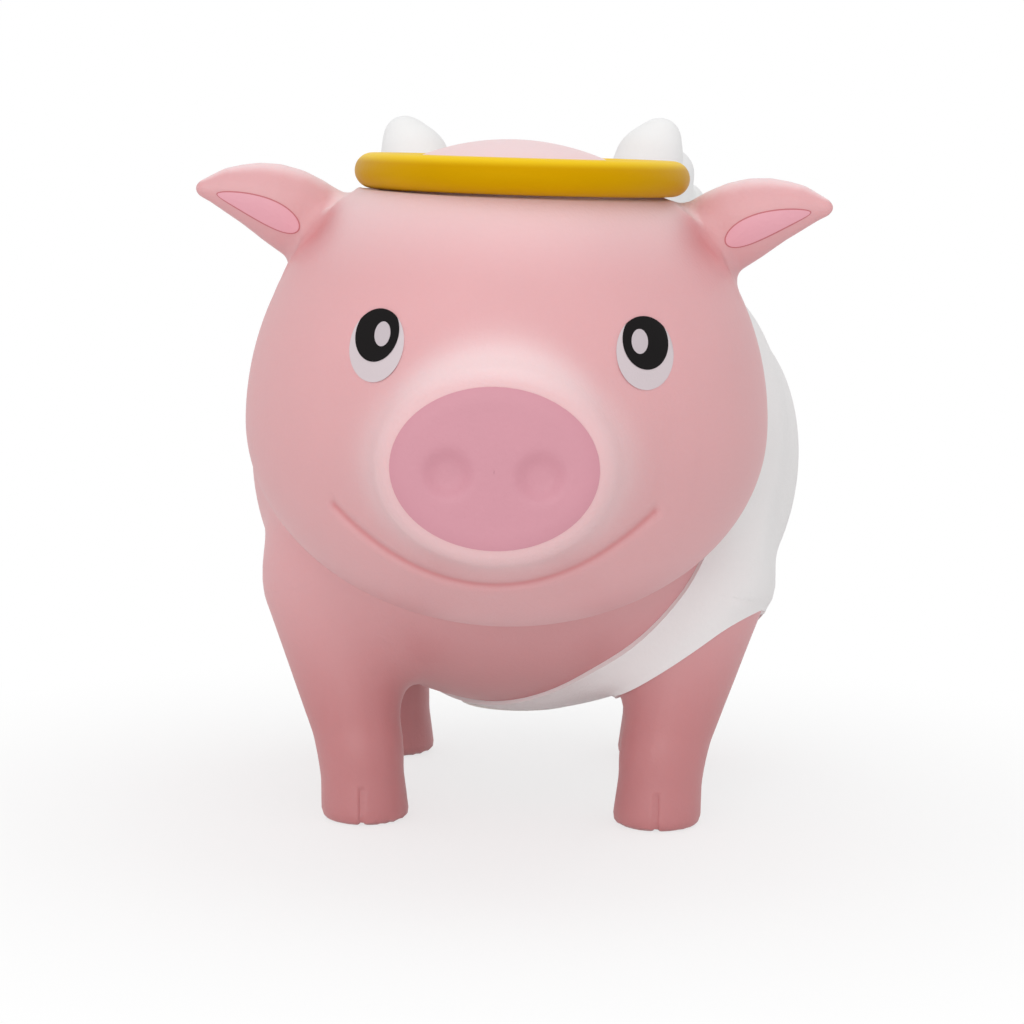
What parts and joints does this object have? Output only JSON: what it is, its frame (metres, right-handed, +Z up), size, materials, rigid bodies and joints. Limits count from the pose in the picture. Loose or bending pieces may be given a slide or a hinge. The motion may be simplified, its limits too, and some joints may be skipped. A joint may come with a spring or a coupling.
{
  "type": "toy pig figure",
  "caption": "Hollow soft vinyl pig figure with a head that swivels on its neck, a halo ring on its crown, small wings, a draped robe and a belly stopper.",
  "frame": {"origin": "on the floor under the middle of the figure's bounding box", "axes": "+Z up, -Y the way the pig faces, +X the pig's left side; +Y runs along the figure's length from snout to tail"},
  "size_m": [0.0996, 0.1502, 0.119],
  "materials": {
    "vinyl_pink": "satin soft vinyl",
    "pad_pink": "satin paint",
    "halo_yellow": "gloss",
    "wing_white": "matte",
    "robe_white": "matte",
    "eye_white": "satin paint",
    "eye_black": "gloss paint",
    "stopper_clear": "satin"
  },
  "bodies": {
    "body": {"body_shell": "vinyl_pink", "robe": "robe_white", "left_wing": "wing_white", "right_wing": "wing_white", "tail": "vinyl_pink"},
    "head": {"head_shell": "vinyl_pink", "halo_ring": "halo_yellow", "snout_pad": "pad_pink", "left_ear_lining": "pad_pink", "right_ear_lining": "pad_pink", "left_eye_white": "eye_white", "right_eye_white": "eye_white", "left_eye_highlight": "eye_white", "right_eye_highlight": "eye_white", "left_pupil": "eye_black", "right_pupil": "eye_black"},
    "stopper": {"belly_stopper": "stopper_clear"}
  },
  "joints": [
    {"name": "neck_swivel", "type": "hinge", "parent": "body", "child": "head", "pos_m": [0, -0.001, 0.073], "axis": [0, 1, 0], "range_deg": [-16.2, 13.8]},
    {"name": "stopper_pull", "type": "slide", "parent": "body", "child": "stopper", "axis": [0, 0, -1], "range_m": [0, 0.015]}
  ]
}
